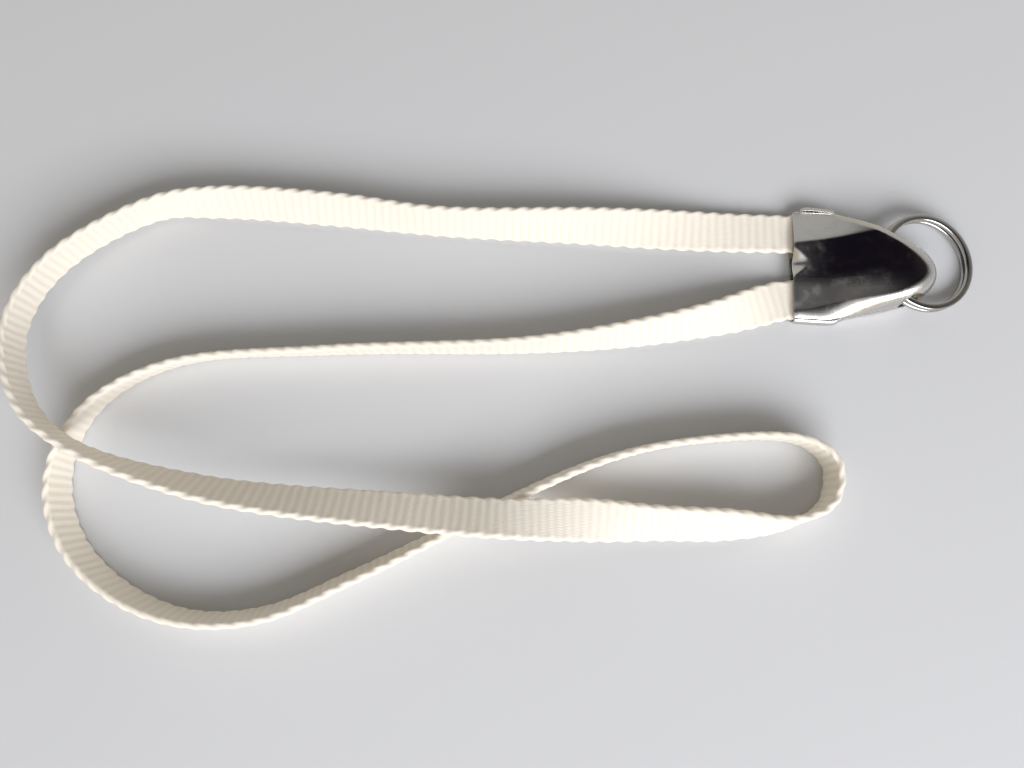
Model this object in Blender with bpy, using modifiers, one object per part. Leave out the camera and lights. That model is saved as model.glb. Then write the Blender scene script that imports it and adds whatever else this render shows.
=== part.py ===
"""Neck lanyard lying on a table: a ribbed webbing strap laid in loops, both of its ends held in a
folded sheet-metal crimp clasp, and a split ring through the clasp's rounded nose.

The frame is in metres with +Z up. The table is z = 0, +X runs along the clasp from its mouth to its
nose, and the origin is under the middle of the whole part. Sizes below are in millimetres.
"""
import math

import bmesh
import bpy
import numpy as np

MM = 0.001
FULL_TURN = 360.0
WELD = 0.002
SMOOTH_STEPS = 24

STRAP_WIDTH = 10.0
STRAP_THICK = 2.2
STRAP_EDGE_ROUND = 0.9
STRAP_EDGE_STEPS = 2
STRAP_STEP = 3.0
STRAP_LIFT_LEAST = 0.02
STRAND_APART = 4 * STRAP_WIDTH
GAP_BLOCK = 400

CLASP_MOUTH_X = 71.0
CLASP_MIDDLE_Y = 40.8
SHEET = 0.7
STRAP_PLAY = 0.4
MOUTH_HEIGHT = 2 * SHEET + 2 * STRAP_PLAY + STRAP_THICK

# The strap's ends: how far they reach into the clasp, their distance from its middle, and the straight
# length of each.
STRAP_GRIP = 9.5
STRAP_END_ASIDE = 8.6
FAR_STRAIGHT = 10.5
NEAR_STRAIGHT = 8.5
END_X = CLASP_MOUTH_X + STRAP_GRIP
END_Z = SHEET + STRAP_PLAY + STRAP_THICK / 2
FAR_Y = CLASP_MIDDLE_Y + STRAP_END_ASIDE
NEAR_Y = CLASP_MIDDLE_Y - STRAP_END_ASIDE
# The strap's route from its end in the far side of the clasp to its end in the near side: the middle of
# the strap (x, y, z) and its lean, the angle in degrees that its width makes with the table.
STRAP_ROUTE = [
    (END_X, FAR_Y, END_Z, 0), (END_X - FAR_STRAIGHT, FAR_Y, END_Z, 0), (54.5, 49, 2.4, -7),
    (20, 48.2, 4.3, -44), (-17.5, 47.2, 5.1, -67), (-45, 49.1, 4.9, -57), (-74.5, 49.3, 5, -63),
    (-89.2, 46.4, 5.7, -82),
    (-110.3, 30.3, 8.5, -91), (-116, 13, 11.6, -92), (-109.5, -5, 14.7, -88), (-97.7, -14.4, 15.8, -82),
    (-66.5, -22.9, 14.1, -55), (-16.5, -25.8, 13, -28), (3, -26.2, 13.6, -22), (20, -25.2, 8.3, 3),
    (36.5, -24.9, 6.3, 39), (54, -24.4, 5.7, 49), (70.5, -22.8, 5.1, 84), (78.3, -17.8, 5.1, 91),
    (79.3, -8.5, 5.1, 90), (72.5, -3.5, 5.1, 86), (48, -4.7, 5.1, 84), (24.5, -11, 5.1, 82),
    (-30.4, -40.2, 5.1, 75), (-51.5, -50.3, 5.1, 74), (-69.2, -52, 5.1, 76), (-85.3, -47.4, 5.1, 78),
    (-97.4, -37.8, 5.1, 81), (-103, -25.5, 5.1, 87), (-102.2, -12.5, 5.1, 96), (-95.5, -1.5, 5.1, 103),
    (-79, 7.6, 5.1, 102), (-43, 12.6, 5.1, 98), (6, 16.5, 5.1, 86), (30, 20.4, 5.2, 68),
    (51.5, 25.7, 4.8, 46), (68.5, 31.8, 2.3, 4), (END_X - NEAR_STRAIGHT, NEAR_Y, END_Z, 0),
    (END_X, NEAR_Y, END_Z, 0),
]

# Half of the clasp's plan: distance from the mouth, half width.
CLASP_OUTLINE = [
    (0, 13.4), (5.5, 13.4), (11, 13.1), (15, 12.35), (20, 11.15), (24.7, 9.9), (28.5, 8.6),
    (31.2, 7.2), (33.2, 5.3), (34.4, 2.8), (34.8, 0),
]
CLASP_LENGTH = CLASP_OUTLINE[-1][0]
# How far the clasp's top plate rises above the mouth's height, along the clasp.
TOP_RISE = [
    (0, 0), (6, 0), (8.5, 0.2), (11, 0.8), (15, 2.4), (19, 3.8), (23, 4.6), (27, 5), (35, 5.1),
]
# How far the rounded shoulder between top and side runs in over the plate, and down the side.
SHOULDER_IN = [(0, 0.8), (8, 0.9), (11, 1.3), (15, 2), (20, 2.4), (25, 3), (30, 3.8), (35, 4)]
SHOULDER_DOWN = [(0, 0.8), (8, 0.9), (11, 1.4), (15, 2.4), (20, 3.4), (25, 4.2), (30, 4.6), (35, 4.7)]
# The same for the smaller round between side and bottom plate.
HEEL_IN = [(0, 0.9), (20, 0.9), (28, 1.3), (35, 2.2)]
HEEL_DOWN = [(0, 0.9), (20, 0.9), (28, 1.5), (35, 2.8)]
# The crease on the far half of the top plate: its distance from the middle at the mouth and where it fades
# out, its length and height, where its near slope starts, the fall of its far slope and its roundness.
CREASE_START = 5.3
CREASE_END = 8.0
CREASE_LENGTH = 22.0
CREASE_HEIGHT = 1.25
CREASE_FOOT = 3.0
CREASE_FALL = 0.17
CREASE_ROUND = 0.14
# The three-cornered dent pressed into the mouth's edge between the strap ends.
DENT_LENGTH = 5.8
DENT_HALF_WIDTH = 4.1
DENT_DEPTH = 2.4
DENT_ASIDE = 0.5
DENT_ROUND = 0.7
DENT_EASE = 4.0
# Rows of the top and bottom plate, as shares of the half width, and the size of their steps.
BOTTOM_ROWS = (0.0, 0.5)
TOP_ROWS = (0.75, 0.55, 0.42, 0.28, 0.2, 0.13, 0.06, 0.0)
OUTLINE_STEP = 1.15
ROUND_STEPS = 5

# The opening in each side of the clasp: a slot where the strap ends lie, a thin seam behind it, and a
# tunnel for the ring as a line through (distance from the mouth, height).
SLOT_PAST_MOUTH = 2.0
SLOT_BEHIND_STRAP = 0.9
SLOT_LIP = 0.12
SEAM_LOW = 2.7
SEAM_HIGH = 3.2
SEAM_LEAD = 0.4
FAR_TUNNEL = [
    (19.4, 3.3), (21, 2.2), (25, 1.95), (29.6, 2.5), (31.5, 4.4), (31.3, 6.7), (29.3, 8.2), (25, 8),
    (21.4, 6.8), (19.9, 4.9), (19.2, 3.85),
]
NEAR_TUNNEL = [
    (24.2, 3.4), (25.1, 2.4), (27, 2), (29.6, 2.5), (31.5, 4.4), (31.3, 6.7), (29.3, 8.2), (27, 7.9),
    (25.4, 6.6), (24.6, 4.9), (24, 3.9),
]
TUNNEL_STEPS = 3
OPENING_INNER = 5.0
OPENING_OUTER = STRAP_END_ASIDE + STRAP_WIDTH

# The ears, strips of the bottom plate that bend up beside the strap's edges and end in a rounded hem.
EAR_CLEAR = 0.4
EAR_RISE = 0.9
EAR_LIFT = 0.06
EAR_BEND = 2.2
EAR_HEM = 1.1
EAR_FOOT = 0.9
EAR_STEPS = 4
# Along each ear: distance from the mouth, and how far it is drawn in and drawn down there.
FAR_EAR = [(1.9, -0.2, 0.3), (2.8, -0.7, 0), (9.9, -0.3, 0), (10.4, -0.2, 0.2)]
NEAR_EAR = [
    (0.4, 0, 0), (9.7, 0, 0), (10.6, 0.25, 0.4), (11.6, 0.85, 1), (12.7, 1.5, 1.5), (13.8, 2.2, 1.6),
]

RING_OUTER = 25.0
RING_WIRE_WIDE = 1.8
RING_WIRE_HIGH = 1.2
RING_WIRE_ROUND = 0.4
RING_WIRE_STEPS = 2
RING_TURN_GAP = 0.5
RING_POINTS_PER_TURN = 30
RING_FLAT_TURN = 320.0
RING_STEP_TURN = 40.0
RING_START = 175.0
RING_TILT = 11.0
# The ring lies in the clasp's nose and swings about a line across its tunnel.
RING_BEHIND_NOSE = 1.9
RING_ASIDE = 2.3
RING_HEIGHT = 3.75
PIVOT_BEHIND_NOSE = 8.3
PIVOT_HEIGHT = 5.2
NOSE_X = CLASP_MOUTH_X + CLASP_LENGTH
RING_MIDDLE = (NOSE_X - RING_BEHIND_NOSE, CLASP_MIDDLE_Y + RING_ASIDE, RING_HEIGHT)
RING_PIVOT = (NOSE_X - PIVOT_BEHIND_NOSE, CLASP_MIDDLE_Y, PIVOT_HEIGHT)


def clear_scene():
    """Removes the objects of the scene that is open."""
    for obj in list(bpy.data.objects):
        bpy.data.objects.remove(obj, do_unlink=True)


def new_collection(name):
    collection = bpy.data.collections.new(name)
    bpy.context.scene.collection.children.link(collection)
    return collection


def new_material(name, colour, roughness, metallic):
    material = bpy.data.materials.new(name)
    material.use_nodes = True
    shader = material.node_tree.nodes["Principled BSDF"]
    shader.inputs["Base Color"].default_value = (*colour, 1.0)
    shader.inputs["Roughness"].default_value = roughness
    shader.inputs["Metallic"].default_value = metallic
    return material


def new_object(name, points, faces, collection, origin=(0.0, 0.0, 0.0)):
    """A mesh object from points in millimetres, its origin moved to the point given."""
    mesh = bpy.data.meshes.new(name)
    mesh.from_pydata(((np.asarray(points) - origin) * MM).tolist(), [], faces)
    work = bmesh.new()
    work.from_mesh(mesh)
    bmesh.ops.remove_doubles(work, verts=work.verts, dist=WELD * MM)
    bmesh.ops.dissolve_degenerate(work, edges=work.edges, dist=WELD * MM)
    bmesh.ops.recalc_face_normals(work, faces=work.faces)
    work.to_mesh(mesh)
    work.free()
    obj = bpy.data.objects.new(name, mesh)
    obj.location = np.asarray(origin) * MM
    collection.objects.link(obj)
    return obj


def smooth_line(rows, steps):
    """A centripetal Catmull-Rom line through the rows, with this many steps on each span."""
    rows = np.asarray(rows, float)
    knots = np.vstack([2 * rows[0] - rows[1], rows, 2 * rows[-1] - rows[-2]])
    line = []
    for first in range(len(rows) - 1):
        p = knots[first:first + 4]
        chord = np.maximum(np.linalg.norm(np.diff(p[:, :3], axis=0), axis=1), 1e-9) ** 0.5
        t0, t1, t2, t3 = np.concatenate([[0.0], np.cumsum(chord)])
        t = np.linspace(t1, t2, steps, endpoint=False)[:, None]
        a1 = (t1 - t) / (t1 - t0) * p[0] + (t - t0) / (t1 - t0) * p[1]
        a2 = (t2 - t) / (t2 - t1) * p[1] + (t - t1) / (t2 - t1) * p[2]
        a3 = (t3 - t) / (t3 - t2) * p[2] + (t - t2) / (t3 - t2) * p[3]
        b1 = (t2 - t) / (t2 - t0) * a1 + (t - t0) / (t2 - t0) * a2
        b2 = (t3 - t) / (t3 - t1) * a2 + (t - t1) / (t3 - t1) * a3
        line.append((t2 - t) / (t2 - t1) * b1 + (t - t1) / (t2 - t1) * b2)
    return np.vstack([*line, rows[-1:]])


def curve_at(table, x):
    """Height at x of the smooth curve through a table's rows."""
    line = smooth_line(table, SMOOTH_STEPS)
    return np.interp(x, line[:, 0], line[:, 1])


def even_steps(line, step):
    """The same line at even distances along it, and its length."""
    along = np.concatenate([[0.0], np.cumsum(np.linalg.norm(np.diff(line[:, :3], axis=0), axis=1))])
    count = int(round(along[-1] / step))
    at = np.linspace(0.0, along[-1], count + 1)
    return np.stack([np.interp(at, along, column) for column in line.T], axis=1), along[-1]


def arc(middle, radius, start, end, steps):
    """Points of an arc between two angles in degrees."""
    angle = np.radians(np.linspace(start, end, steps + 1))
    return np.array(middle) + radius * np.column_stack([np.cos(angle), np.sin(angle)])


def rounded_box(wide, high, corner, steps):
    """Outline of a rectangle with rounded corners, as (across, up) points."""
    outline = []
    for turn, (right, up) in enumerate(((1, 1), (-1, 1), (-1, -1), (1, -1))):
        middle = (right * (wide / 2 - corner), up * (high / 2 - corner))
        outline.append(arc(middle, corner, turn * 90, turn * 90 + 90, steps))
    return np.vstack(outline)


def loft(sections):
    """Points and faces of a closed body through a list of equal outlines, with flat ends."""
    rows, columns = len(sections), len(sections[0])
    points = np.vstack(sections)
    faces = []
    for row in range(rows - 1):
        for column in range(columns):
            following = (column + 1) % columns
            faces.append((row * columns + column, row * columns + following,
                          (row + 1) * columns + following, (row + 1) * columns + column))
    faces.append(tuple(range(columns))[::-1])
    faces.append(tuple((rows - 1) * columns + column for column in range(columns)))
    return points, faces


def sweep(middle, across, up, outline):
    """Outlines set square to a line, from its middle points and two directions at each of them."""
    return [m + outline[:, :1] * a + outline[:, 1:] * u for m, a, u in zip(middle, across, up)]


def least_gap(sections, step, apart):
    """The least distance between points of a swept body that lie further apart than this along it."""
    points = np.vstack(sections)
    along = np.repeat(np.arange(len(sections)) * step, len(sections[0]))
    least = math.inf
    for start in range(0, len(points), GAP_BLOCK):
        block = slice(start, start + GAP_BLOCK)
        distance = np.linalg.norm(points[block, None] - points[None], axis=2)
        distance[np.abs(along[block, None] - along[None]) < apart] = math.inf
        least = min(least, float(distance.min()))
    return least


def make_strap(collection):
    """The strap: a flat section with round edges along the route, never lower than the table."""
    line, length = even_steps(smooth_line(STRAP_ROUTE, SMOOTH_STEPS), STRAP_STEP)
    run = np.gradient(line[:, :3], axis=0)
    run[:, 2] = 0
    run /= np.linalg.norm(run, axis=1)[:, None]
    left = np.stack([-run[:, 1], run[:, 0], np.zeros(len(run))], axis=1)
    lean = np.radians(line[:, 3:4])
    upright = np.array([[0.0, 0.0, 1.0]])
    across = np.cos(lean) * left + np.sin(lean) * upright
    face = np.cos(lean) * upright - np.sin(lean) * left
    under = (np.abs(np.sin(lean)) * (STRAP_WIDTH / 2 - STRAP_EDGE_ROUND) + STRAP_EDGE_ROUND
             + np.abs(np.cos(lean)) * (STRAP_THICK / 2 - STRAP_EDGE_ROUND))
    line[:, 2] = np.maximum(line[:, 2], under[:, 0] + STRAP_LIFT_LEAST)
    outline = rounded_box(STRAP_WIDTH, STRAP_THICK, STRAP_EDGE_ROUND, STRAP_EDGE_STEPS)
    sections = sweep(line[:, :3], across, face, outline)
    gap = least_gap(sections, STRAP_STEP, STRAND_APART)
    print(f"webbing_strap: {length:.1f} mm long, strands {gap:.2f} mm apart")
    return new_object("webbing_strap", *loft(sections), collection)


def lid_height(x, y):
    """Height of the clasp's top plate: its rise along the clasp and a low crease on its far half, less
    the dent in the mouth's edge."""
    fade = np.clip(1 - x / CREASE_LENGTH, 0, 1)
    crease = CREASE_START + (CREASE_END - CREASE_START) * x / CREASE_LENGTH
    near_slope = np.clip(y + CREASE_FOOT, 0, None) * CREASE_HEIGHT / (crease + CREASE_FOOT)
    far_slope = CREASE_HEIGHT - CREASE_FALL * (y - crease)
    ridge = (near_slope + far_slope - np.hypot(near_slope - far_slope, CREASE_ROUND)) / 2
    dent = np.clip(1 - np.hypot(y - DENT_ASIDE, DENT_ROUND) / DENT_HALF_WIDTH - x / DENT_LENGTH, 0, 1)
    dent *= 1 - np.exp(-DENT_EASE * dent)
    return MOUTH_HEIGHT + curve_at(TOP_RISE, x) + ridge * fade * fade * (3 - 2 * fade) - DENT_DEPTH * dent


def clasp_half(side):
    """The clasp's outer surface on its far (1) or near (-1) side, as rows of points from the middle of the
    bottom plate round the side to the middle of the top plate."""
    plan = even_steps(smooth_line(CLASP_OUTLINE, SMOOTH_STEPS), OUTLINE_STEP)[0]
    plan[-1, 1] = 0.0
    run = np.gradient(plan, axis=0)
    run[0], run[-1] = (1.0, 0.0), (0.0, -1.0)
    run /= np.linalg.norm(run, axis=1)[:, None]
    inward = np.stack([run[:, 1], -run[:, 0]], axis=1)
    inward[plan[:, 0] < DENT_LENGTH] = (0.0, -1.0)

    x = plan[:, 0]
    heel_in, heel_down = curve_at(HEEL_IN, x), curve_at(HEEL_DOWN, x)
    shoulder_in, shoulder_down = curve_at(SHOULDER_IN, x), curve_at(SHOULDER_DOWN, x)
    heel_plan = plan + inward * heel_in[:, None]
    top_plan = plan + inward * shoulder_in[:, None]
    top = lid_height(top_plan[:, 0], side * top_plan[:, 1])
    angles = np.radians(np.linspace(0, 90, ROUND_STEPS + 1))
    rows = []
    for share in BOTTOM_ROWS:
        rows.append(np.column_stack([heel_plan * (1, share), np.zeros(len(x))]))
    for angle in angles:
        at = plan + inward * (heel_in * (1 - math.sin(angle)))[:, None]
        rows.append(np.column_stack([at, heel_down * (1 - math.cos(angle))]))
    for angle in angles:
        at = plan + inward * (shoulder_in * (1 - math.cos(angle)))[:, None]
        rows.append(np.column_stack([at, top - shoulder_down * (1 - math.sin(angle))]))
    for share in TOP_ROWS:
        at = top_plan * (1, share)
        rows.append(np.column_stack([at, lid_height(at[:, 0], side * at[:, 1])]))
    return np.array(rows) * (1, side, 1) + (CLASP_MOUTH_X, CLASP_MIDDLE_Y, 0)


def side_opening(name, side, tunnel, collection):
    """The body that cuts one side's slot, seam and tunnel out of the clasp."""
    slot_end = STRAP_GRIP + SLOT_BEHIND_STRAP
    slot_low, slot_high = SHEET + SLOT_LIP, MOUTH_HEIGHT - SHEET - SLOT_LIP
    lower = [(-SLOT_PAST_MOUTH, slot_low), (slot_end, slot_low), (slot_end + SEAM_LEAD, SEAM_LOW)]
    upper = [(slot_end + SEAM_LEAD, SEAM_HIGH), (slot_end, slot_high), (-SLOT_PAST_MOUTH, slot_high)]
    x, z = np.vstack([lower, smooth_line(tunnel, TUNNEL_STEPS), upper]).T
    sections = []
    for y in (OPENING_INNER, OPENING_OUTER):
        sections.append(np.column_stack([CLASP_MOUTH_X + x, np.full(len(x), CLASP_MIDDLE_Y + side * y), z]))
    return new_object(name, *loft(sections), collection)


def ear_outline(drawn_in, drawn_down):
    """Section of an ear as (across, up): its outer side from the foot up to the hem, and back inside."""
    outer = STRAP_END_ASIDE + STRAP_WIDTH / 2 + EAR_CLEAR + SHEET - drawn_in
    top = MOUTH_HEIGHT + EAR_RISE - drawn_down
    bend = (outer - EAR_BEND, EAR_LIFT + EAR_BEND)
    hem = (outer - EAR_HEM, top - EAR_HEM)
    foot = outer - EAR_BEND - EAR_FOOT
    return np.vstack([
        [(foot, EAR_LIFT)], arc(bend, EAR_BEND, -90, 0, EAR_STEPS), arc(hem, EAR_HEM, 0, 90, EAR_STEPS),
        arc(hem, EAR_HEM - SHEET, 90, 0, EAR_STEPS), arc(bend, EAR_BEND - SHEET, 0, -90, EAR_STEPS),
        [(foot, EAR_LIFT + SHEET)],
    ])


def make_ear(name, side, stations, collection):
    """An ear through its stations along the clasp."""
    sections = []
    for x, drawn_in, drawn_down in stations:
        y, z = ear_outline(drawn_in, drawn_down).T
        sections.append(np.column_stack([np.full(len(y), CLASP_MOUTH_X + x), CLASP_MIDDLE_Y + side * y, z]))
    return new_object(name, *loft(sections), collection)


def make_clasp(collection, cutters):
    """The folded clasp: a thin shell open at its mouth, its sides cut for strap ends, seam and ring, and
    an ear on each side of the mouth."""
    surface = np.array([clasp_half(1), clasp_half(-1)])
    rows, columns = surface.shape[1:3]
    corner = np.arange(surface.size // 3).reshape(2, rows, columns)
    faces = np.stack([corner[:, :-1, :-1], corner[:, :-1, 1:], corner[:, 1:, 1:], corner[:, 1:, :-1]], -1)
    clasp = new_object("crimp_clasp", surface.reshape(-1, 3), faces.reshape(-1, 4).tolist(), collection,
                       (CLASP_MOUTH_X, CLASP_MIDDLE_Y, 0))
    shell = clasp.modifiers.new("sheet", "SOLIDIFY")
    shell.thickness = SHEET * MM
    shell.offset = -1.0
    shell.use_even_offset = True
    shell.use_quality_normals = True
    steps = (("DIFFERENCE", side_opening("far_opening", 1, FAR_TUNNEL, cutters)),
             ("DIFFERENCE", side_opening("near_opening", -1, NEAR_TUNNEL, cutters)),
             ("UNION", make_ear("far_ear", 1, FAR_EAR, cutters)),
             ("UNION", make_ear("near_ear", -1, NEAR_EAR, cutters)))
    for operation, other in steps:
        change = clasp.modifiers.new(other.name, "BOOLEAN")
        change.operation, change.solver, change.object = operation, "EXACT", other
    return clasp


def make_ring(collection):
    """The split ring: one flattened wire wound nearly two turns, stepping from the lower to the upper."""
    turn = RING_FLAT_TURN + RING_STEP_TURN + RING_FLAT_TURN
    wound = np.linspace(0, turn, int(round(turn / FULL_TURN * RING_POINTS_PER_TURN)) + 1)
    climb = np.clip((wound - RING_FLAT_TURN) / RING_STEP_TURN, 0, 1)
    climb = climb * climb * (3 - 2 * climb)
    pitch = RING_WIRE_HIGH + RING_TURN_GAP
    radius = (RING_OUTER - RING_WIRE_WIDE) / 2
    angle = np.radians(RING_START + wound)
    tilt = math.radians(RING_TILT)
    ring_x = np.array([math.cos(tilt), 0.0, -math.sin(tilt)])
    ring_z = np.array([math.sin(tilt), 0.0, math.cos(tilt)])
    out = np.cos(angle)[:, None] * ring_x + np.sin(angle)[:, None] * np.array([0.0, 1.0, 0.0])
    middle = np.array(RING_MIDDLE) + radius * out + ((climb - 0.5) * pitch)[:, None] * ring_z
    outline = rounded_box(RING_WIRE_WIDE, RING_WIRE_HIGH, RING_WIRE_ROUND, RING_WIRE_STEPS)
    sections = sweep(middle, out, np.repeat(ring_z[None], len(middle), 0), outline)
    step = math.radians(FULL_TURN / RING_POINTS_PER_TURN) * radius
    print(f"split_ring: least gap to itself {least_gap(sections, step, math.pi * radius):.2f} mm")
    return new_object("split_ring", *loft(sections), collection, RING_PIVOT)


def main():
    clear_scene()
    parts = new_collection("neck_lanyard")
    cutters = new_collection("neck_lanyard_cutters")
    strap = make_strap(parts)
    clasp = make_clasp(parts, cutters)
    ring = make_ring(parts)
    for helper in cutters.objects:
        helper.hide_render = True
        helper.display_type = "WIRE"
    strap.data.materials.append(new_material("cream_webbing", (0.80, 0.76, 0.67), 0.9, 0.0))
    clasp.data.materials.append(new_material("nickel_sheet", (0.66, 0.66, 0.67), 0.22, 1.0))
    ring.data.materials.append(new_material("nickel_wire", (0.68, 0.68, 0.69), 0.16, 1.0))


main()
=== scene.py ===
"""A neck lanyard laid on a pale floor: cream ribbed webbing with roped edges, a nickel-plated crimp
clasp that holds both of its ends, and a split ring through the clasp's nose. Sizes are in
millimetres and angles in degrees, unless a line says otherwise."""
import math

import bmesh
import bpy
import numpy as np
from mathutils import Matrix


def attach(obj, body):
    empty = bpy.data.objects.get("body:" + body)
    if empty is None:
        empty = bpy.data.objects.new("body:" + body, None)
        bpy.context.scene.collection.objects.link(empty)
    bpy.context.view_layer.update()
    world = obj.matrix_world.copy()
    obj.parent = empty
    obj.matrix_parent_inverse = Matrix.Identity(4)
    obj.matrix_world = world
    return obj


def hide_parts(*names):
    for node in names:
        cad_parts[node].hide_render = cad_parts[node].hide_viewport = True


MM = 0.001

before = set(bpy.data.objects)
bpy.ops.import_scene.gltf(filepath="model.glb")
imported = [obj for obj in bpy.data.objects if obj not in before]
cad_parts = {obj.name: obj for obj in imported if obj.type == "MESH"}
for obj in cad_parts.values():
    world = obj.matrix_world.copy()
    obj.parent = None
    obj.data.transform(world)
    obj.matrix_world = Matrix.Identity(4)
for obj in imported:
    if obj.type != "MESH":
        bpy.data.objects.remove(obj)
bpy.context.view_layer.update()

# The camera looks down at the table from the near side, close and wide, turned a little about the
# vertical. Its clip distances are in metres.
CAMERA_AIM = (2.7, 7.7, 0.0)
CAMERA_DISTANCE = 231.7
CAMERA_TILT = 12.0
CAMERA_TURN = 3.0
CAMERA_CLIP = (0.01, 20.0)
FOCAL_PIXELS = 940.0
IMAGE_WIDTH = 1024
SENSOR = 36.0

# The floor, and a wide soft window on the near side and to the right: its size and place in metres,
# its power in watts and its colour.
FLOOR_REACH = 3000.0
FLOOR_COLOUR = "#CECFD0"
WINDOW_SIZE = (1.1, 0.7)
WINDOW_PLACE = (0.42, -0.83, 0.73)
WINDOW_POWER = 18.5
WINDOW_COLOUR = "#F4F7FF"
# The room, shaded by how far a direction lies from a spot overhead: the spot's offset, the scale
# along x and y, and the shade at each distance, dark overhead and warm near the floor.
ROOM_OFFSET = (0.01, -0.16, 0.0)
ROOM_SCALE = (0.45, 1.0, 0.0)
ROOM_SHADES = [
    (0.22, "#17131C"), (0.34, "#5A554E"), (0.43, "#B8B9BA"), (0.62, "#C6C5C2"), (0.84, "#C8B497"),
]

# The strap's route from the clasp's far mouth to its near mouth: middle of the strap (x, y, z) and
# its lean, the angle between its width and the table.
STRAP_ROUTE = [
    (80.5, 49.4, 2.2, 0), (70, 49.4, 2.2, 0), (54.5, 49, 2.4, -7), (20, 48.2, 4.3, -44),
    (-17.5, 47.2, 5.1, -67), (-45, 49.1, 4.9, -57), (-74.5, 49.3, 5, -63), (-89.2, 46.4, 5.7, -82),
    (-110, 30.1, 8.5, -86), (-115.7, 13, 11.6, -85), (-109.3, -5, 14.7, -84),
    (-97.7, -14.4, 15.8, -82), (-66.5, -22.9, 14.1, -55), (-16.5, -25.8, 13, -28),
    (3, -26.2, 13.6, -22), (20, -25.2, 8.3, 3), (36.5, -24.9, 6.3, 39), (54, -24.4, 5.7, 49),
    (70.5, -22.8, 5.1, 84), (78.3, -17.8, 5.1, 95), (79.3, -8.5, 5.1, 94), (72.5, -3.5, 5.1, 86),
    (48, -4.7, 5.1, 84), (24.5, -11, 5.1, 82), (-30.4, -40.2, 5.1, 75), (-51.5, -50.3, 5.1, 74),
    (-69.2, -52, 5.1, 76), (-84.9, -47, 5.1, 74), (-96.8, -37.4, 5.1, 75),
    (-102.5, -25.4, 5.1, 79), (-101.9, -12.7, 5.1, 88), (-95.3, -1.8, 5.1, 97),
    (-79, 7.6, 5.1, 102), (-43, 12.6, 5.1, 98), (6, 16.5, 5.1, 86), (30, 20.4, 5.2, 68),
    (51.5, 25.7, 4.8, 46), (68.5, 31.8, 2.3, 4), (72, 32.2, 2.2, 0), (80.5, 32.2, 2.2, 0),
]
ROUTE_STEPS = 120
CORD_POINTS = 240
# The strap's section: its nominal width, the distance between its faces, half the width of their
# flat part, and the points across a face as shares of that.
FACE_THICK = 1.72
FACE_HALF = 3.875
FACE_SHARES = np.array([1.0, 0.72, 0.36, 0.0, -0.36, -0.72, -1.0])
# The ribs across the faces: pitch, height and the points along each as shares of the pitch. They
# run a little crooked, as a sum of sines: size, change with each rib, change across, start.
RIB_PITCH = 2.05
RIB_HEIGHT = 0.11
RIB_SAMPLES = np.arange(6) / 6
RIB_DRIFT = [(0.08, 0.31, 0.24, 0.0), (0.06, 0.83, -0.5, 1.3)]
# Width of a warp thread, about one and a half times the real one, so that it shows. FACE_HALF is
# 12.5 of its halves, so that no gap between threads runs along an edge.
THREAD = 0.62
# The edges: points round each, how far they stand out beyond the faces, how far the strands of the
# edge cord stand out more, sideways and at the corners, and the length of a whole twist of the two
# strands.
EDGE_SIDES = 9
EDGE_ROUND = 0.88
EDGE_STRAND = 0.36
EDGE_SWELL = 0.34
EDGE_TWIST = 4 * RIB_PITCH
# The yarn's colour where it is raised, and the darker beige painted in as shade in the hollows and
# between threads. Then how much of that painted shade shows in the hollows and between threads, how
# wide and how deep the gaps between threads are, as shares of half a thread and of the fuzz, and
# the size and height of the fuzz.
YARN_RAISED = "#F1EADC"
YARN_PAINTED_SHADE = "#CBBFAB"
HOLLOW_PAINTED_SHADE = 0.24
THREAD_GAP_PAINTED_SHADE = 0.08
THREAD_GAP = 0.45
THREAD_DEPTH = 0.7
FUZZ_SIZE = 0.35
FUZZ_HEIGHT = 0.07

CLASP_MOUTH_X = 71.0
CLASP_MIDDLE_Y = 40.8
SHEET = 0.7
MOUTH_HEIGHT = 4.4
# The clasp's plan from the far corner of the mouth to the nose, and from there back to the near
# corner: distance from the mouth, distance from the middle.
FAR_OUTLINE = [
    (0, 14.45), (5.5, 14.5), (10.2, 14.1), (13, 13.2), (16.5, 12), (21, 10.4), (24.5, 8.9),
    (27.4, 7.5), (30.2, 5.8), (32.6, 3.6), (34.2, 1.2), (34.7, -1.2),
]
NEAR_OUTLINE = [
    (34.4, -3.2), (33.2, -5.3), (31.2, -7.2), (28.5, -8.6), (24.7, -9.9), (20, -11.15),
    (15, -12.35), (11, -13.3), (5.5, -13.9), (0, -13.9),
]
# Along the clasp: rise of the top plate above the mouth, and the reach of the rounds between top
# and side, in over the plate and down the side, and of those between side and bottom.
TOP_RISE = [
    (0, 0), (6, 0), (8.5, 0.2), (11, 0.8), (15, 2.4), (19, 3.8), (23, 4.6), (27, 5), (35, 5.1),
]
SHOULDER_IN = [
    (0, 0.8), (8, 0.9), (11, 1.3), (15, 2), (20, 2.4), (25, 3), (30, 3.8), (35, 4),
]
NEAR_SHOULDER_IN = [
    (0, 2.2), (4, 2.9), (8, 3.7), (11, 4), (15, 3.8), (20, 3.3), (25, 3.1), (30, 3.6), (35, 4),
]
SHOULDER_DOWN = [
    (0, 0.8), (8, 0.9), (11, 1.4), (15, 2.4), (20, 3.4), (25, 4.2), (30, 4.6), (35, 4.7),
]
HEEL_IN = [(0, 0.9), (20, 0.9), (28, 1.3), (35, 2.2)]
HEEL_DOWN = [(0, 0.9), (20, 0.9), (28, 1.5), (35, 2.8)]
# The near shoulder is partly a flat chamfer: the share of it, where it ends and over what length.
CHAMFER = 0.4
CHAMFER_END = 26.0
CHAMFER_FADE = 10.0
# The crease on the far half of the top: its distance from the middle at both ends, its length, its
# height, where its near slope starts, the fall of its far slope and its roundness.
CREASE_START, CREASE_END = 5.2, 9.4
CREASE_LENGTH = 24.0
CREASE_HEIGHT = 1.25
CREASE_FOOT = 3.0
CREASE_FALL = 0.21
CREASE_ROUND = 0.14
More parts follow.
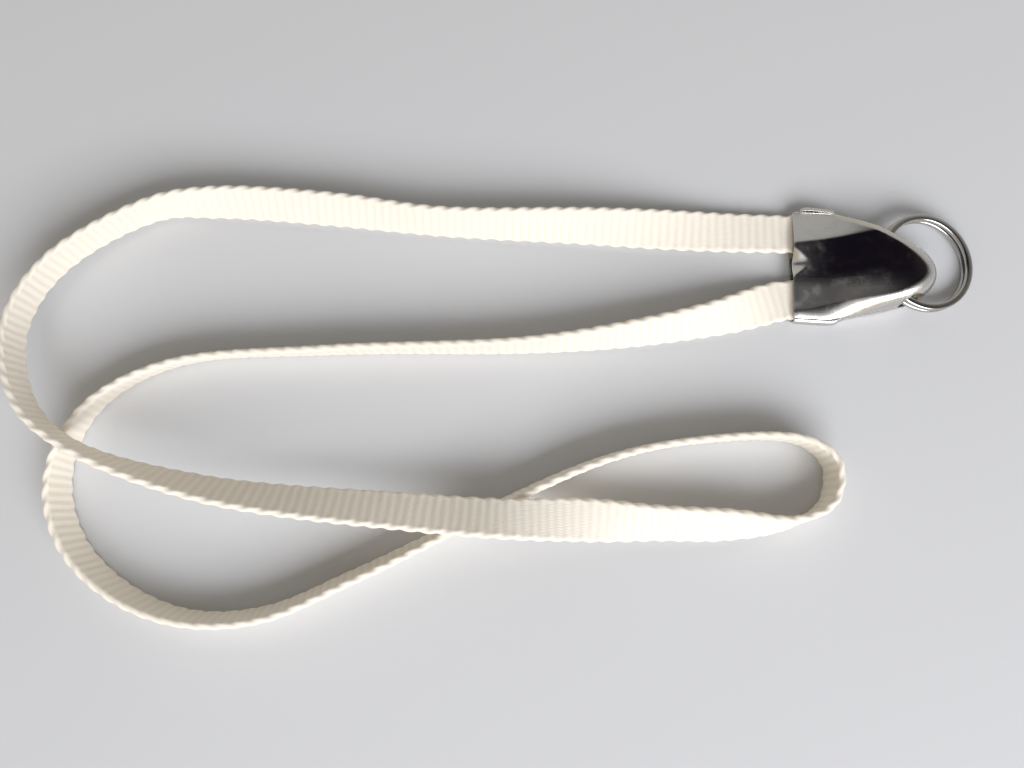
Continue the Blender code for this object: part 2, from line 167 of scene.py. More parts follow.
# The three-cornered dent pressed into the mouth's edge between the strap's ends.
DENT_LENGTH = 5.8
DENT_HALF_WIDTH = 4.1
DENT_DEPTH = 2.4
DENT_ASIDE = 0.5
DENT_ROUND = 1.3
DENT_EASE = 4.0
# The mouth's edge is rolled down a little.
LIP_DROP = 0.3
LIP_LENGTH = 1.3
# The side openings: a slot where the strap ends lie, a thin seam, and a tunnel for the ring as a
# line through (distance from the mouth, height).
SLOT_END = 10.4
SLOT_LOW, SLOT_HIGH = 0.82, 3.58
SEAM_LOW, SEAM_HIGH = 2.7, 3.2
SEAM_LEAD = 0.4
FAR_TUNNEL = [
    (19.3, 3.2), (20.8, 1.85), (25, 1.35), (29.6, 2.4), (31.5, 4.4), (31.3, 6.7), (29.3, 8.25),
    (25, 8.5), (21.2, 7.4), (19.6, 5.1), (19.1, 3.85),
]
NEAR_TUNNEL = [
    (25.7, 3.6), (26.3, 2.75), (27.7, 2.4), (29.6, 2.5), (31.5, 4.4), (31.3, 6.7), (29.3, 8.25),
    (27.6, 7.95), (26.3, 7), (25.8, 5.3), (25.5, 4),
]
# Steps on each span of the plan, the tunnels and the tables, the clasp's columns round its plan and
# the least share between two, its rows over bottom, heel, shoulder and top, the spine's length, and
# how near to each other points are joined.
PLAN_STEPS = 60
TUNNEL_STEPS = 5
TABLE_STEPS = 30
CLASP_COLUMNS = 96
COLUMN_LEAST = 0.004
BOTTOM_ROWS = 7
HEEL_ROWS = 12
SHOULDER_ROWS = 15
TOP_ROWS = 40
SPINE_LENGTH = 22.0
WELD = 0.004
# Worn edges of the sheet: width of the round, its steps, and the least turn in radians.
WEAR_WIDTH = 0.14
WEAR_STEPS = 2
WEAR_TURN = 1.0
# How dull the sheet is where the press has drawn it, and where it is handled. Where this starts
# and stops: across the crease, along the crease, in the dent, at the lip, towards the mouth, and
# on the near side.
DRAWN_SATIN = 0.5
HANDLED_SATIN = 0.7
CREASE_BLEND = 0.6
CREASE_STEEP = 8.0
DENT_STEEP = 6.0
LIP_SATIN = 1.5
MOUTH_SATIN = 12.0
HANDLED_FROM = 1.0
HANDLED_WIDTH = 5.0
HANDLED_END = 30.0
HANDLED_FADE = 10.0
# The ears: outer side, height, lift off the table, radii of bend and hem, and length of the foot.
# Along each: distance from the mouth, drawn in, drawn down.
EAR_OUTER = 14.7
EAR_TOP = 5.3
EAR_LIFT = 0.06
EAR_BEND = 2.2
EAR_HEM = 1.1
EAR_FOOT = 0.9
EAR_STEPS = 10
EAR_ROUND_POINTS = 9
FAR_EAR = [(1.9, -0.2, 1), (2.8, -0.7, 0.7), (9.9, -0.3, 0.7), (10.4, -0.2, 0.9)]
NEAR_EAR = [
    (0.4, 0, 1.5), (9.7, 0, 1.5), (10.6, 0.25, 1.55), (11.6, 0.85, 1.6), (12.7, 1.5, 1.65),
    (13.8, 2.2, 1.7),
]
# The plate's smudges: size, where they start and are full, and how much they dull it. Its
# scratches: length, width, turn in radians, how much they dull it, and depth.
SMUDGE_SIZE = 4.0
SMUDGE_FROM, SMUDGE_FULL = 0.46, 0.74
SMUDGE_DULL = 0.12
SCRATCH_LENGTH = 9.0
SCRATCH_WIDTH = 0.25
SCRATCH_TURN = 0.5
SCRATCH_DULL = 0.06
SCRATCH_DEPTH = 0.02

# The ring: outer diameter, wire, gap between its turns, the flat part of each turn and the step
# between them, where the wire starts, the ring's middle and its tilt.
RING_OUTER = 25.0
RING_WIRE_WIDE = 1.8
RING_WIRE_HIGH = 1.2
RING_WIRE_ROUND = 0.45
RING_WIRE_STEPS = 5
RING_TURN_GAP = 0.5
RING_FLAT_TURN = 320.0
RING_STEP_TURN = 40.0
RING_START = 215.0
RING_POINTS = 300
RING_MIDDLE = (103.9, 43.1, 3.75)
RING_TILT = 11.0


def linear(colour):
    """An sRGB hex colour as linear red, green, blue and an alpha of one."""
    part = np.array([int(colour[i:i + 2], 16) for i in (1, 3, 5)]) / 255
    return (*np.where(part <= 0.04045, part / 12.92, ((part + 0.055) / 1.055) ** 2.4), 1.0)


def add(tree, kind, inputs=None, **settings):
    """One node with its settings. An input is a value, or an output socket to link from."""
    made = tree.nodes.new(kind)
    for name, value in settings.items():
        setattr(made, name, value)
    for name, value in (inputs or {}).items():
        socket = made.inputs[name]
        if isinstance(value, bpy.types.NodeSocket):
            tree.links.new(value, socket)
        else:
            socket.default_value = value
    return made


def new_material(name):
    """An empty node material with its node tree and that tree's surface shader."""
    material = bpy.data.materials.new(name)
    material.use_nodes = True
    return material, material.node_tree, material.node_tree.nodes["Principled BSDF"]


def grid_faces(rows, columns, closed):
    """Quads of a grid of points, row after row. If closed, its last column joins the first."""
    corner = np.arange(rows * columns).reshape(rows, columns)
    following = np.roll(corner, -1, axis=1) if closed else corner[:, 1:]
    corner = corner if closed else corner[:, :-1]
    return np.stack([corner[:-1], following[:-1], following[1:], corner[1:]], -1).reshape(-1, 4)


def tube_faces(rows, columns):
    """Faces of a tube with flat ends, from rings of points."""
    ring = np.arange(columns)
    sides = grid_faces(rows, columns, True).tolist()
    return sides + [ring[::-1].tolist(), (ring + (rows - 1) * columns).tolist()]


def new_piece(name, points, faces, material, marks=None):
    """A smooth-shaded mesh object at the origin from points in millimetres, with named point
    attributes."""
    mesh = bpy.data.meshes.new(name)
    mesh.from_pydata((np.asarray(points) * MM).tolist(), [], [tuple(face) for face in faces])
    for mark, values in (marks or {}).items():
        kind, field = ("FLOAT_VECTOR", "vector") if values.ndim == 2 else ("FLOAT", "value")
        made = mesh.attributes.new(mark, kind, "POINT")
        made.data.foreach_set(field, values.astype(np.float32).ravel())
    mesh.polygons.foreach_set("use_smooth", np.ones(len(mesh.polygons), bool))
    mesh.materials.append(material)
    piece = bpy.data.objects.new(name, mesh)
    bpy.context.scene.collection.objects.link(piece)
    return piece


def weld(piece, within):
    """Joins a piece's points that lie this near to each other."""
    work = bmesh.new()
    work.from_mesh(piece.data)
    bmesh.ops.remove_doubles(work, verts=work.verts, dist=within * MM)
    work.to_mesh(piece.data)
    work.free()


def wear_edges(piece):
    """Rounds a piece's sharp edges a little, as wear does."""
    soften = piece.modifiers.new("worn_edges", "BEVEL")
    soften.width, soften.segments = WEAR_WIDTH * MM, WEAR_STEPS
    soften.limit_method, soften.angle_limit = "ANGLE", WEAR_TURN


def smooth_line(rows, steps):
    """A centripetal Catmull-Rom line through the rows, with this many steps on each span."""
    rows = np.asarray(rows, float)
    knots = np.vstack([2 * rows[0] - rows[1], rows, 2 * rows[-1] - rows[-2]])
    line = []
    for first in range(len(rows) - 1):
        p = knots[first:first + 4]
        chord = np.maximum(np.linalg.norm(np.diff(p[:, :3], axis=0), axis=1), 1e-9) ** 0.5
        t0, t1, t2, t3 = np.concatenate([[0.0], np.cumsum(chord)])
        t = np.linspace(t1, t2, steps, endpoint=False)[:, None]
        a1 = (t1 - t) / (t1 - t0) * p[0] + (t - t0) / (t1 - t0) * p[1]
        a2 = (t2 - t) / (t2 - t1) * p[1] + (t - t1) / (t2 - t1) * p[2]
        a3 = (t3 - t) / (t3 - t2) * p[2] + (t - t2) / (t3 - t2) * p[3]
        b1 = (t2 - t) / (t2 - t0) * a1 + (t - t0) / (t2 - t0) * a2
        b2 = (t3 - t) / (t3 - t1) * a2 + (t - t1) / (t3 - t1) * a3
        line.append((t2 - t) / (t2 - t1) * b1 + (t - t1) / (t2 - t1) * b2)
    return np.vstack([*line, rows[-1:]])


def along_line(line, at=None):
    """Distances along a line, or the line's rows at the distances given."""
    steps = np.linalg.norm(np.diff(line[:, :3], axis=0), axis=1)
    distance = np.concatenate([[0.0], np.cumsum(steps)])
    if at is None:
        return distance
    return np.stack([np.interp(at, distance, column) for column in line.T], axis=1)


def curve_at(table, x):
    """Height at x of the smooth curve through a table's rows."""
    line = smooth_line(table, TABLE_STEPS)
    return np.interp(x, line[:, 0], line[:, 1])


def unit(rows):
    """The rows as directions, each one long."""
    return rows / np.linalg.norm(rows, axis=1)[:, None]


def stand(thing, right, back, place):
    """Puts a camera or lamp in the scene, by its directions to the right and back and its place in
    metres."""
    matrix = np.eye(4)
    matrix[:3] = np.stack([right, np.cross(back, right), back, place], axis=1)
    thing.matrix_world = matrix.T.tolist()
    bpy.context.scene.collection.objects.link(thing)


def place_camera():
    """The camera, from its aim, distance, tilt from straight down and turn about the vertical."""
    turn, tilt = math.radians(CAMERA_TURN), math.radians(CAMERA_TILT)
    right = np.array([math.cos(turn), math.sin(turn), 0.0])
    back = np.array([math.sin(turn) * math.sin(tilt), -math.cos(turn) * math.sin(tilt),
                     math.cos(tilt)])
    data = bpy.data.cameras.new("camera")
    data.sensor_width = SENSOR
    data.lens = FOCAL_PIXELS / IMAGE_WIDTH * SENSOR
    data.clip_start, data.clip_end = CAMERA_CLIP
    camera = bpy.data.objects.new("camera", data)
    stand(camera, right, back, (np.array(CAMERA_AIM) + CAMERA_DISTANCE * back) * MM)
    bpy.context.scene.camera = camera


def strap_line(line):
    """Middle, run, width and face directions of the strap along its route. The strap never sinks
    into the table: its middle is at least as high as its lower edge needs."""
    run = np.gradient(line[:, :3], axis=0)
    flat_run = unit(run * (1, 1, 0))
    left = np.stack([-flat_run[:, 1], flat_run[:, 0], np.zeros(len(run))], axis=1)
    lean = np.radians(line[:, 3:4])
    across = np.cos(lean) * left + np.sin(lean) * (0, 0, 1)
    face = np.cos(lean) * np.array([[0, 0, 1]]) - np.sin(lean) * left
    middle = line[:, :3].copy()
    reach = FACE_HALF + EDGE_ROUND + EDGE_STRAND
    lowest = np.abs(across[:, 2]) * reach + np.abs(face[:, 2]) * FACE_THICK / 2
    middle[:, 2] = np.maximum(middle[:, 2], lowest)
    return middle, unit(run), across, face


def make_strap(material):
    """The webbing, as one closed section carried along the route: a flat face above and below, and
    two rounded edges. Each face rises in one rib, a squared sine, for each pitch along the strap.
    Each edge stands out in slanting lobes, the two strands of its cord, which turn round the edge
    along the strap and die out at the faces."""
    line = smooth_line(STRAP_ROUTE, ROUTE_STEPS)
    length = along_line(line)[-1]
    ribs = round(length / RIB_PITCH)
    pitch = length / ribs
    at = np.append((np.arange(ribs)[:, None] + RIB_SAMPLES).ravel() * pitch, length)
    middle, run, across, face = strap_line(along_line(line, at))
    turn = np.linspace(math.pi / 2, -math.pi / 2, EDGE_SIDES + 2)
    around = np.concatenate([np.full(len(FACE_SHARES), turn[0]), turn[1:-1],
                             np.full(len(FACE_SHARES), turn[-1]), turn[-2:0:-1]])
    share = np.concatenate([FACE_SHARES, np.full(EDGE_SIDES, -1),
                            FACE_SHARES[::-1], np.ones(EDGE_SIDES)])
    up, out = np.sin(around), np.cos(around)
    phase = (at / pitch)[:, None]
    valley = 1 - np.sin(math.pi * phase) ** 2
    lobe = np.cos(2 * math.pi * at[:, None] / EDGE_TWIST - around) ** 2
    y = share * (FACE_HALF + (EDGE_ROUND + EDGE_STRAND * lobe) * out)
    z = up * (FACE_THICK / 2 - RIB_HEIGHT * valley * up ** 2 + EDGE_SWELL * lobe * out)
    drift = sum(size * np.sin(by_rib * phase + by_width * y + start)
                for size, by_rib, by_width, start in RIB_DRIFT)
    points = (middle[:, None] + y[..., None] * across[:, None] + z[..., None] * face[:, None]
              + drift[..., None] * run[:, None])
    weave = np.stack(np.broadcast_arrays(phase, share * FACE_HALF, 0.0), -1)
    # Where shade is painted into the yarn's colour: the rib valleys on the faces and the grooves
    # between the cord's strands on the edges.
    painted_hollow_shade = valley * up ** 2 + (1 - lobe) * out
    strap = new_piece("webbing_strap_woven", points.reshape(-1, 3), tube_faces(*points.shape[:2]),
                      material, {"weave": weave.reshape(-1, 3), "painted_hollow_shade": painted_hollow_shade.ravel()})
    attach(strap, "lanyard")
    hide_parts("webbing_strap")
    path = strap_line(along_line(line, np.linspace(0, length, CORD_POINTS)))[0] * MM


def crease_aside(x):
    """Distance of the crease from the clasp's middle."""
    return CREASE_START + (CREASE_END - CREASE_START) * x / CREASE_LENGTH


def crease_fade(x):
    """How much of the crease is left, from one at the mouth to none where it ends."""
    return np.clip(1 - (x / CREASE_LENGTH) ** 3, 0, 1) ** 2


def dent_depth(x, y):
    """Depth of the three-cornered dent, as a share of the greatest: it falls off straight to both
    sides and along the clasp, and is eased where it starts."""
    aside = np.hypot(y - DENT_ASIDE, DENT_ROUND)
    dent = np.clip(1 - aside / DENT_HALF_WIDTH - x / DENT_LENGTH, 0, 1)
    return dent * (1 - np.exp(-DENT_EASE * dent))


def lid_height(x, y):
    """Height of the clasp's top: its rise along the clasp, with a low crease on the far half from
    which the plate falls away to the far edge, less the dent between the strap's two ends and the
    lip at the mouth."""
    aside = crease_aside(x)
    near_slope = np.clip(y + CREASE_FOOT, 0, None) * CREASE_HEIGHT / (aside + CREASE_FOOT)
    far_slope = CREASE_HEIGHT - CREASE_FALL * (y - aside)
    ridge = (near_slope + far_slope - np.hypot(near_slope - far_slope, CREASE_ROUND)) / 2
    lip = LIP_DROP * np.clip(1 - x / LIP_LENGTH, 0, 1) ** 2
    return (MOUTH_HEIGHT + curve_at(TOP_RISE, x) + ridge * crease_fade(x)
            - DENT_DEPTH * dent_depth(x, y) - lip)


def lid_satin(x, y):
    """How dull the top plate is: half beyond the crease, in the dent and at the lip, where the
    press has drawn it, fading from the mouth, and somewhat more on the near side, where it is
    handled."""
    beyond = (np.clip((y - crease_aside(x)) / CREASE_BLEND + 0.5, 0, 1)
              * np.clip(CREASE_STEEP * crease_fade(x), 0, 1))
    dented = np.clip(DENT_STEEP * dent_depth(x, y), 0, 1)
    drawn = np.max([beyond, dented, np.clip(LIP_SATIN - x, 0, 1)], axis=0)
    handled = (np.clip((-y - HANDLED_FROM) / HANDLED_WIDTH, 0, 1)
               * np.clip((HANDLED_END - x) / HANDLED_FADE, 0, 1))
    towards_mouth = np.clip(1 - x / MOUTH_SATIN, 0, 1)
    return np.max([DRAWN_SATIN * drawn, HANDLED_SATIN * handled, DRAWN_SATIN * towards_mouth],
                  axis=0)


def opening_edges(tunnel):
    """A side opening's lower and upper edge as rows of (distance from the mouth, height): along
    the slot and the seam, then round the tunnel, and at one height from there to the nose."""
    line = smooth_line(tunnel, TUNNEL_STEPS)
    front = int(np.argmax(line[:, 0]))
    nose = [(FAR_OUTLINE[-1][0], line[front, 1])]
    return [np.vstack([[(0, slot), (SLOT_END, slot), (SLOT_END + SEAM_LEAD, seam)], half, nose])
            for slot, seam, half in ((SLOT_LOW, SEAM_LOW, line[:front + 1]),
                                     (SLOT_HIGH, SEAM_HIGH, line[:front - 1:-1]))]


def make_clasp(material):
    """The folded clasp, drawn as one surface round its plan from the far corner of the mouth by the
    nose to the near corner. From a spine in the bottom plate it runs out flat, rises in a quarter
    round into the side as far as the opening's lower edge, goes on from the upper edge in a larger
    quarter round, on the near side partly a chamfer, and runs back to a spine in the top. Both
    edges meet at the nose. The sheet's thickness goes inwards."""
    line = smooth_line(FAR_OUTLINE + NEAR_OUTLINE, PLAN_STEPS)
    distance = along_line(line)
    nose = PLAN_STEPS * (len(FAR_OUTLINE) - 1)
    far_length, near_length = distance[nose], distance[-1] - distance[nose]
    far_share = distance[:nose + 1] / far_length
    near_share = ((distance[-1] - distance) / near_length)[:nose - 1:-1]
    far_low, far_high = opening_edges(FAR_TUNNEL)
    near_low, near_high = opening_edges(NEAR_TUNNEL)
    share = np.sort(np.concatenate([
        np.linspace(0, 1, CLASP_COLUMNS),
        np.interp(np.vstack([far_low, far_high])[:, 0], line[:nose + 1, 0], far_share),
        np.interp(np.vstack([near_low, near_high])[:, 0], line[:nose - 1:-1, 0], near_share)]))
    share = share[np.append(True, np.diff(share) > COLUMN_LEAST)]
    at = np.concatenate([share * far_length, distance[-1] - (share * near_length)[-2::-1]])
    share = np.concatenate([share, share[-2::-1]])
    plan = along_line(line, at)
    x, side = plan[:, 0], np.where(at > far_length, -1, 1)
    run = unit(np.gradient(plan, at, axis=0))
    straight = np.clip(x / DENT_LENGTH, 0, 1)[:, None]
    across = np.stack([0 * x, -side], axis=1)
    inward = unit(np.stack([run[:, 1], -run[:, 0]], axis=1) * straight + across * (1 - straight))
    spine = np.outer(SPINE_LENGTH * share / line[nose, 0], line[nose])
    heel_in, heel_down = curve_at(HEEL_IN, x), curve_at(HEEL_DOWN, x)
    shoulder_in = np.where(side < 0, curve_at(NEAR_SHOULDER_IN, x), curve_at(SHOULDER_IN, x))
    shoulder_down = curve_at(SHOULDER_DOWN, x)
    chamfer = np.where(side < 0, CHAMFER * np.clip((CHAMFER_END - x) / CHAMFER_FADE, 0, 1), 0)
    low = np.where(side < 0, np.interp(x, *near_low.T), np.interp(x, *far_low.T))
    high = np.where(side < 0, np.interp(x, *near_high.T), np.interp(x, *far_high.T))
    bottom_edge = plan + inward * heel_in[:, None]
    top_edge = plan + inward * shoulder_in[:, None]
    top = lid_height(*top_edge.T)

    def wall(height):
        heel = np.clip(1 - height / heel_down, 0, 1)
        shoulder = np.clip(1 - (top - height) / shoulder_down, 0, 1)
        turned = chamfer * shoulder + (1 - chamfer) * (1 - np.sqrt(1 - shoulder ** 2))
        drawn = heel_in * (1 - np.sqrt(1 - heel ** 2)) + shoulder_in * turned
        return np.column_stack([plan + inward * drawn[:, None], height])

    tray = [np.column_stack([spine + (bottom_edge - spine) * out, 0 * x])
            for out in np.linspace(0, 1, BOTTOM_ROWS)[:-1]]
    tray += [wall(low * (1 - math.cos(rise))) for rise in np.linspace(0, math.pi / 2, HEEL_ROWS)]
    lid = [wall(high + (top - high) * math.sin(rise))
           for rise in np.linspace(0, math.pi / 2, SHOULDER_ROWS)]
    satin = [np.full_like(x, DRAWN_SATIN)] * (len(tray) + len(lid) - 1) + [lid_satin(*top_edge.T)]
    for out in np.linspace(1, 0, TOP_ROWS)[1:]:
        place = (spine + (top_edge - spine) * out).T
        lid.append(np.column_stack([*place, lid_height(*place)]))
        satin.append(lid_satin(*place))
    tray, lid = np.array(tray), np.array(lid)
    points = np.vstack([tray.reshape(-1, 3), lid.reshape(-1, 3)])
    points = points + (CLASP_MOUTH_X, CLASP_MIDDLE_Y, 0)
    faces = np.vstack([grid_faces(*tray.shape[:2], False),
                       grid_faces(*lid.shape[:2], False) + tray.size // 3])[:, ::-1]
    clasp = new_piece("crimp_clasp_plated", points, faces.tolist(), material,
                      {"satin": np.ravel(satin)})
    weld(clasp, WELD)
    shell = clasp.modifiers.new("sheet", "SOLIDIFY")
    shell.thickness, shell.offset = SHEET * MM, -1.0
    wear_edges(clasp)
    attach(clasp, "lanyard")
    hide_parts("crimp_clasp")


def make_ears(material):
    """The two ears folded up round the strap's edges at the mouth: a bent strip of sheet whose
    section goes out under the clasp, turns up in a quarter round, ends in a rounded hem above the
    strap's edge, and comes back one sheet's thickness inside. The section is carried along each
    ear's own stations."""
    bend = np.radians(np.linspace(-90, 0, EAR_ROUND_POINTS))
    hem = np.radians(np.linspace(0, 90, EAR_ROUND_POINTS))
    for name, side, stations in (("far_ear", 1, FAR_EAR), ("near_ear", -1, NEAR_EAR)):
        x, drawn_in, drawn_down = smooth_line(stations, EAR_STEPS).T[:, :, None]
        outer, top = EAR_OUTER - drawn_in, EAR_TOP - drawn_down
        foot = outer - EAR_BEND - EAR_FOOT
        y, z = [foot], [0 * x + EAR_LIFT]
        for inside, way in ((0, 1), (SHEET, -1)):
            bend_radius, hem_radius = EAR_BEND - inside, EAR_HEM - inside
            parts = ((outer - EAR_BEND + bend_radius * np.cos(bend),
                      EAR_LIFT + EAR_BEND + bend_radius * np.sin(bend)),
                     (outer - EAR_HEM + hem_radius * np.cos(hem),
                      top - EAR_HEM + hem_radius * np.sin(hem)))
            for across, up in parts[::way]:
                y.append(np.broadcast_to(across, (len(x), len(bend)))[:, ::way])
                z.append(np.broadcast_to(up, (len(x), len(bend)))[:, ::way])
        y, z = np.hstack(y + [foot]), np.hstack(z + [0 * x + EAR_LIFT + SHEET])
        points = np.stack(np.broadcast_arrays(CLASP_MOUTH_X + x, CLASP_MIDDLE_Y + side * y, z), -1)
        faces = [face[::side] for face in tube_faces(*points.shape[:2])]
        ear = new_piece(name, points.reshape(-1, 3), faces, material,
                        {"satin": np.full(y.size, DRAWN_SATIN)})
        wear_edges(ear)
        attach(ear, "lanyard")


def rounded_box(wide, high, corner, steps):
    """Outline of a rectangle with rounded corners, as (across, up) points."""
    turn = np.arange(4).repeat(steps + 1) * 90 + np.tile(np.linspace(0, 90, steps + 1), 4)
    turn = np.radians(turn)
    sx = np.repeat([1, -1, -1, 1], steps + 1) * (wide / 2 - corner)
    sy = np.repeat([1, 1, -1, -1], steps + 1) * (high / 2 - corner)
    return np.stack([sx + corner * np.cos(turn), sy + corner * np.sin(turn)], 1)


def make_ring(material):
    """The split ring: a rounded flat wire carried round nearly two turns, stepping smoothly from
    the lower to the upper turn, its circle tilted about the clasp's width."""
    wound = np.linspace(0, 2 * RING_FLAT_TURN + RING_STEP_TURN, RING_POINTS)
    climb = np.clip((wound - RING_FLAT_TURN) / RING_STEP_TURN, 0, 1)
    climb = climb * climb * (3 - 2 * climb)
    angle, tilt = np.radians(RING_START + wound), math.radians(RING_TILT)
    ring_x = np.array([math.cos(tilt), 0.0, -math.sin(tilt)])
    ring_y = np.array([0.0, 1.0, 0.0])
    ring_z = np.array([math.sin(tilt), 0.0, math.cos(tilt)])
    out = np.cos(angle)[:, None] * ring_x + np.sin(angle)[:, None] * ring_y
    middle = (np.array(RING_MIDDLE) + (RING_OUTER - RING_WIRE_WIDE) / 2 * out
              + ((climb - 0.5) * (RING_WIRE_HIGH + RING_TURN_GAP))[:, None] * ring_z)
    outline = rounded_box(RING_WIRE_WIDE, RING_WIRE_HIGH, RING_WIRE_ROUND, RING_WIRE_STEPS)
    points = (middle[:, None] + outline[None, :, :1] * out[:, None]
              + outline[None, :, 1:] * ring_z)
    faces = [face[::-1] for face in tube_faces(*points.shape[:2])]
    ring = new_piece("split_ring_wire", points.reshape(-1, 3), faces, material)
    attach(ring, "ring")
    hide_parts("split_ring")


def light_scene():
    """A pale floor, one wide soft window on the near side and to the right, and a soft room that
    is dark overhead, grey round about that and warm near the floor."""
    material, _, shader = new_material("pale_matt_floor")
    shader.inputs["Base Color"].default_value = linear(FLOOR_COLOUR)
    shader.inputs["Roughness"].default_value = 0.9
    corners = [(sx * FLOOR_REACH, sy * FLOOR_REACH, 0)
               for sx, sy in ((-1, -1), (1, -1), (1, 1), (-1, 1))]
    floor = new_piece("floor", corners, [(0, 1, 2, 3)], material)

    window = bpy.data.lights.new("near_window", "AREA")
    window.shape, window.energy = "RECTANGLE", WINDOW_POWER
    window.size, window.size_y = WINDOW_SIZE
    window.color = linear(WINDOW_COLOUR)[:3]
    place = np.array(WINDOW_PLACE)
    back = place / np.linalg.norm(place)
    right = np.cross((0.0, 0.0, 1.0), back)
    right /= np.linalg.norm(right)
    stand(bpy.data.objects.new("near_window", window), right, back, place)

    world = bpy.data.worlds.new("room")
    world.use_nodes = True
    bpy.context.scene.world = world
    tree = world.node_tree
    way = add(tree, "ShaderNodeTexCoord")
    aside = add(tree, "ShaderNodeMapping", {
        "Vector": way.outputs["Generated"], "Location": ROOM_OFFSET, "Scale": ROOM_SCALE})
    aside = add(tree, "ShaderNodeVectorMath", {0: aside.outputs["Vector"]}, operation="LENGTH")
    shade = add(tree, "ShaderNodeValToRGB", {"Fac": aside.outputs["Value"]})
    stops = shade.color_ramp.elements
    for number, (position, colour) in enumerate(ROOM_SHADES):
        stop = stops[number] if number < 2 else stops.new(position)
        stop.position, stop.color = position, linear(colour)
    tree.links.new(shade.outputs["Color"], tree.nodes["Background"].inputs["Color"])
    bpy.context.scene.view_settings.view_transform = "Standard"


def webbing_material():
    """Woven polyester webbing, undyed cream: matt soft yarn, fine lengthwise warp threads over
    thick ribs, with shade painted into its colour as beige in the hollows and between threads."""
    material, tree, shader = new_material("cream_polyester_webbing")
    weave = add(tree, "ShaderNodeAttribute", attribute_name="weave")
    painted_hollow_shade = add(tree, "ShaderNodeAttribute", attribute_name="painted_hollow_shade")
    place = add(tree, "ShaderNodeTexCoord")
    split = add(tree, "ShaderNodeSeparateXYZ", {"Vector": weave.outputs["Vector"]})
    # The threads of every second rib are set off by half a thread.
    rib = add(tree, "ShaderNodeMath", {0: split.outputs["X"]}, operation="FLOOR")
    odd = add(tree, "ShaderNodeMath", {0: rib.outputs[0], 1: 2.0}, operation="MODULO")
    thread = add(tree, "ShaderNodeMath", {
        0: split.outputs["Y"], 1: 2 / THREAD, 2: odd.outputs[0]}, operation="MULTIPLY_ADD")
    thread = add(tree, "ShaderNodeMath", {0: thread.outputs[0], 1: 1.0}, operation="PINGPONG")
    gap = add(tree, "ShaderNodeMapRange", {
        "Value": thread.outputs[0], "From Min": 0.0, "From Max": THREAD_GAP,
        "To Min": 1.0, "To Max": 0.0}, interpolation_type="SMOOTHSTEP")
    # Painted shade: the beige mixed into the yarn's colour in the rib valleys and the cord's
    # grooves.
    painted_shade = add(tree, "ShaderNodeMath", {0: painted_hollow_shade.outputs["Fac"], 1: HOLLOW_PAINTED_SHADE},
               operation="MULTIPLY")
    # Painted shade in the gaps between the warp threads, added to the painted shade of the hollows.
    painted_shade = add(tree, "ShaderNodeMath", {
        0: gap.outputs["Result"], 1: THREAD_GAP_PAINTED_SHADE, 2: painted_shade.outputs[0]},
        operation="MULTIPLY_ADD", use_clamp=True)
    tone = add(tree, "ShaderNodeMix", {
        "Factor": painted_shade.outputs[0], "A": linear(YARN_RAISED), "B": linear(YARN_PAINTED_SHADE)},
        data_type="RGBA")
    fuzz = add(tree, "ShaderNodeTexNoise", {
        "Vector": place.outputs["Object"], "Scale": 1 / (FUZZ_SIZE * MM), "Detail": 3.0})
    height = add(tree, "ShaderNodeMath", {
        0: gap.outputs["Result"], 1: -THREAD_DEPTH, 2: fuzz.outputs["Fac"]},
        operation="MULTIPLY_ADD")
    bump = add(tree, "ShaderNodeBump", {
        "Height": height.outputs[0], "Distance": FUZZ_HEIGHT * MM, "Strength": 0.6})
    shader.inputs["Roughness"].default_value = 0.85
    shader.inputs["Sheen Weight"].default_value = 0.2
    shader.inputs["Sheen Roughness"].default_value = 0.5
    tree.links.new(tone.outputs["Result"], shader.inputs["Base Color"])
    tree.links.new(bump.outputs["Normal"], shader.inputs["Normal"])
    return material


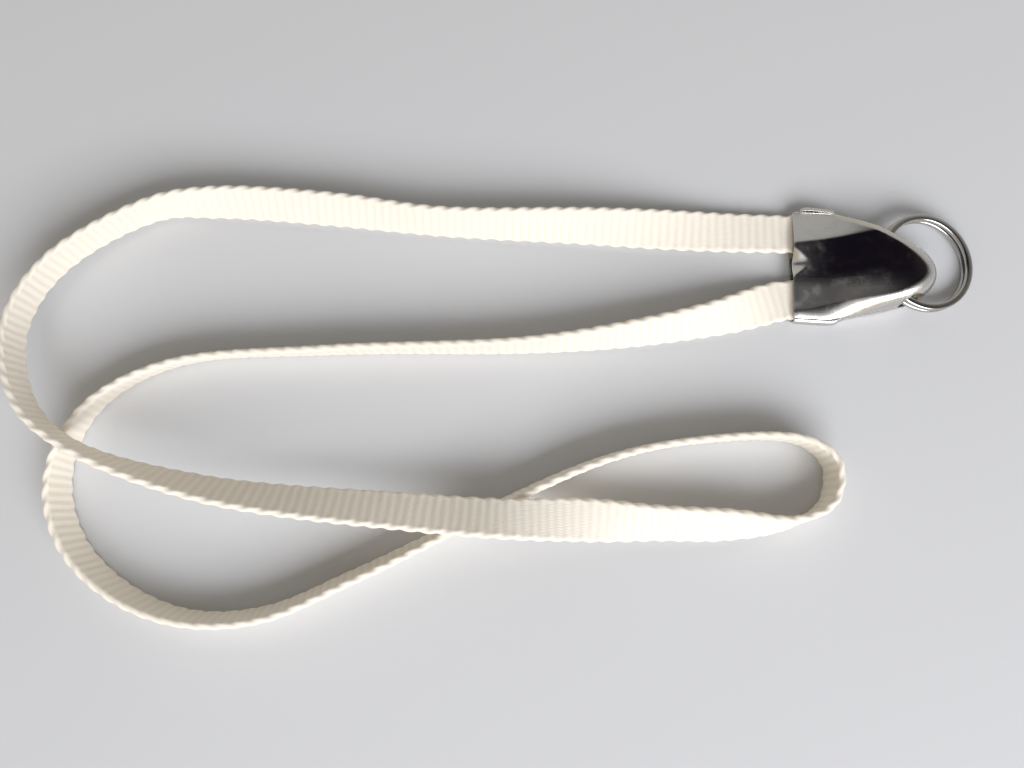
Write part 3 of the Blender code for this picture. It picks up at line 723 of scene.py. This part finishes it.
def plated_material(name, colour, mirror, satin):
    """Bright nickel plate on pressed steel: a dark mirror where it is flat, satin where the press
    has drawn it round, with finger smudges and fine handling scratches."""
    material, tree, shader = new_material(name)
    drawn = add(tree, "ShaderNodeAttribute", attribute_name="satin")
    place = add(tree, "ShaderNodeTexCoord")
    smudge = add(tree, "ShaderNodeTexNoise", {
        "Vector": place.outputs["Object"], "Scale": 1 / (SMUDGE_SIZE * MM),
        "Detail": 4.0, "Roughness": 0.6})
    smudge = add(tree, "ShaderNodeMapRange", {
        "Value": smudge.outputs["Fac"], "From Min": SMUDGE_FROM, "From Max": SMUDGE_FULL,
        "To Min": 0.0, "To Max": SMUDGE_DULL}, interpolation_type="SMOOTHSTEP")
    along, across = 1 / (SCRATCH_LENGTH * MM), 1 / (SCRATCH_WIDTH * MM)
    stretch = add(tree, "ShaderNodeMapping", {
        "Vector": place.outputs["Object"], "Rotation": (0.0, 0.0, SCRATCH_TURN),
        "Scale": (along, across, along)})
    scratch = add(tree, "ShaderNodeTexNoise", {
        "Vector": stretch.outputs["Vector"], "Scale": 1.0, "Detail": 2.0})
    rough = add(tree, "ShaderNodeMapRange", {
        "Value": drawn.outputs["Fac"], "To Min": mirror, "To Max": satin})
    rough = add(tree, "ShaderNodeMath", {
        0: rough.outputs["Result"], 1: smudge.outputs["Result"]}, operation="ADD")
    rough = add(tree, "ShaderNodeMath", {
        0: scratch.outputs["Fac"], 1: SCRATCH_DULL, 2: rough.outputs[0]},
        operation="MULTIPLY_ADD")
    bump = add(tree, "ShaderNodeBump", {
        "Height": scratch.outputs["Fac"], "Distance": SCRATCH_DEPTH * MM, "Strength": 0.15})
    shader.inputs["Base Color"].default_value = linear(colour)
    shader.inputs["Metallic"].default_value = 1.0
    tree.links.new(rough.outputs[0], shader.inputs["Roughness"])
    tree.links.new(bump.outputs["Normal"], shader.inputs["Normal"])
    return material


place_camera()
make_strap(webbing_material())
sheet_metal = plated_material("nickel_plated_sheet", "#D5D3CF", mirror=0.05, satin=0.4)
make_clasp(sheet_metal)
make_ears(sheet_metal)
make_ring(plated_material("nickel_plated_wire", "#BFBDBA", mirror=0.07, satin=0.07))
light_scene()
